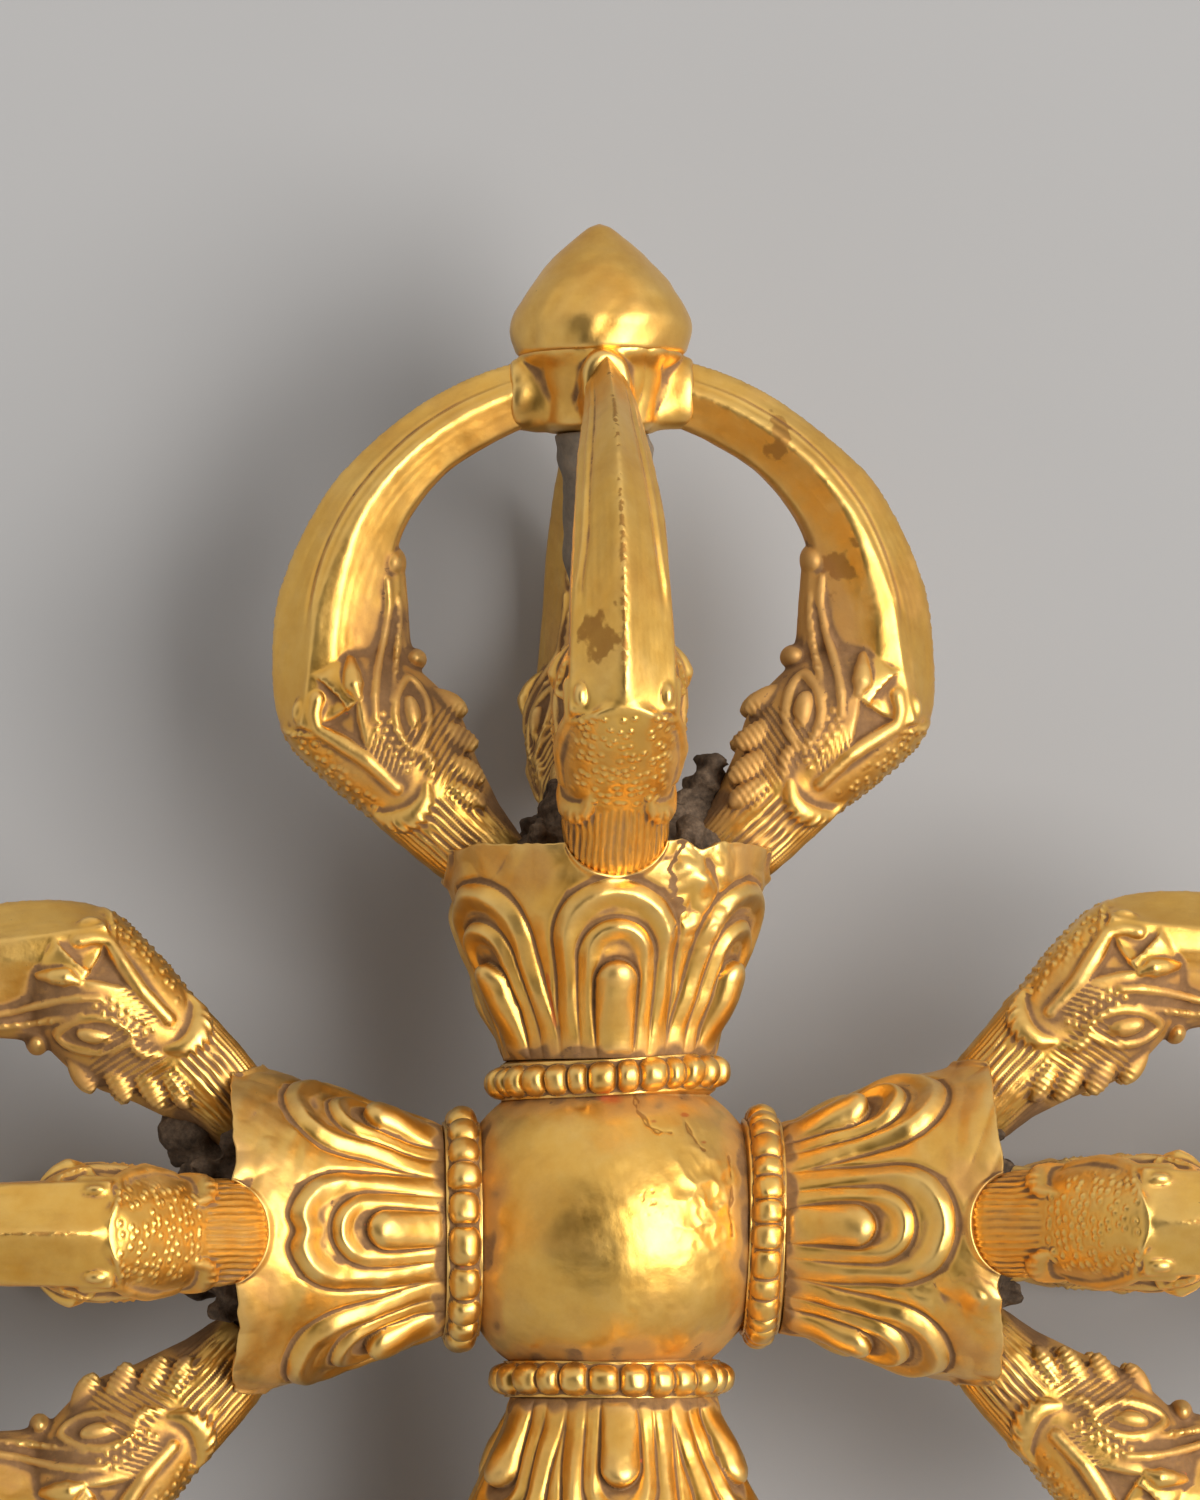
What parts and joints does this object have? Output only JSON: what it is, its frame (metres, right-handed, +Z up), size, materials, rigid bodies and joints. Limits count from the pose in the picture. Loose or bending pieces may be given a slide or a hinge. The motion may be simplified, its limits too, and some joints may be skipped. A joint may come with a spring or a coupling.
{
  "type": "crossed double vajra",
  "caption": "Crossed double vajra of gilt copper: round hub, pearl rings, lotus cups and cages of curved prongs that leave sea-monster mouths and close under pointed finials.",
  "frame": {"origin": "on the rest plane, under the hub's centre", "axes": "+Z up, square to the cross; the heads lie along +X (east), +Y (north), -X (west) and -Y (south)"},
  "size_m": [0.2004, 0.2004, 0.0654],
  "materials": {
    "gilt_copper": "worn gilding, polished on the high parts, brown in the recesses",
    "iron": "dull and rough, grey brown",
    "pitch": "dull and lumpy, nearly black"
  },
  "bodies": {
    "root": {"hub_upper_shell": "gilt_copper", "hub_lower_shell": "gilt_copper", "iron_rod_east_west": "iron", "iron_rod_north_south": "iron", "east_pearl_ring": "gilt_copper", "east_lotus_cup": "gilt_copper", "east_pitch_bed": "pitch", "east_tip_collar": "gilt_copper", "east_finial": "gilt_copper", "north_pearl_ring": "gilt_copper", "north_lotus_cup": "gilt_copper", "north_pitch_bed": "pitch", "north_tip_collar": "gilt_copper", "north_finial": "gilt_copper", "west_pearl_ring": "gilt_copper", "west_lotus_cup": "gilt_copper", "west_pitch_bed": "pitch", "west_tip_collar": "gilt_copper", "west_finial": "gilt_copper", "south_pearl_ring": "gilt_copper", "south_lotus_cup": "gilt_copper", "south_pitch_bed": "pitch", "south_tip_collar": "gilt_copper", "south_finial": "gilt_copper", "east_lower_prong": "gilt_copper", "east_left_prong": "gilt_copper", "east_upper_prong": "gilt_copper", "east_right_prong": "gilt_copper", "north_lower_prong": "gilt_copper", "north_left_prong": "gilt_copper", "north_upper_prong": "gilt_copper", "north_right_prong": "gilt_copper", "west_lower_prong": "gilt_copper", "west_left_prong": "gilt_copper", "west_upper_prong": "gilt_copper", "west_right_prong": "gilt_copper", "south_lower_prong": "gilt_copper", "south_left_prong": "gilt_copper", "south_upper_prong": "gilt_copper", "south_right_prong": "gilt_copper"}
  },
  "joints": []
}
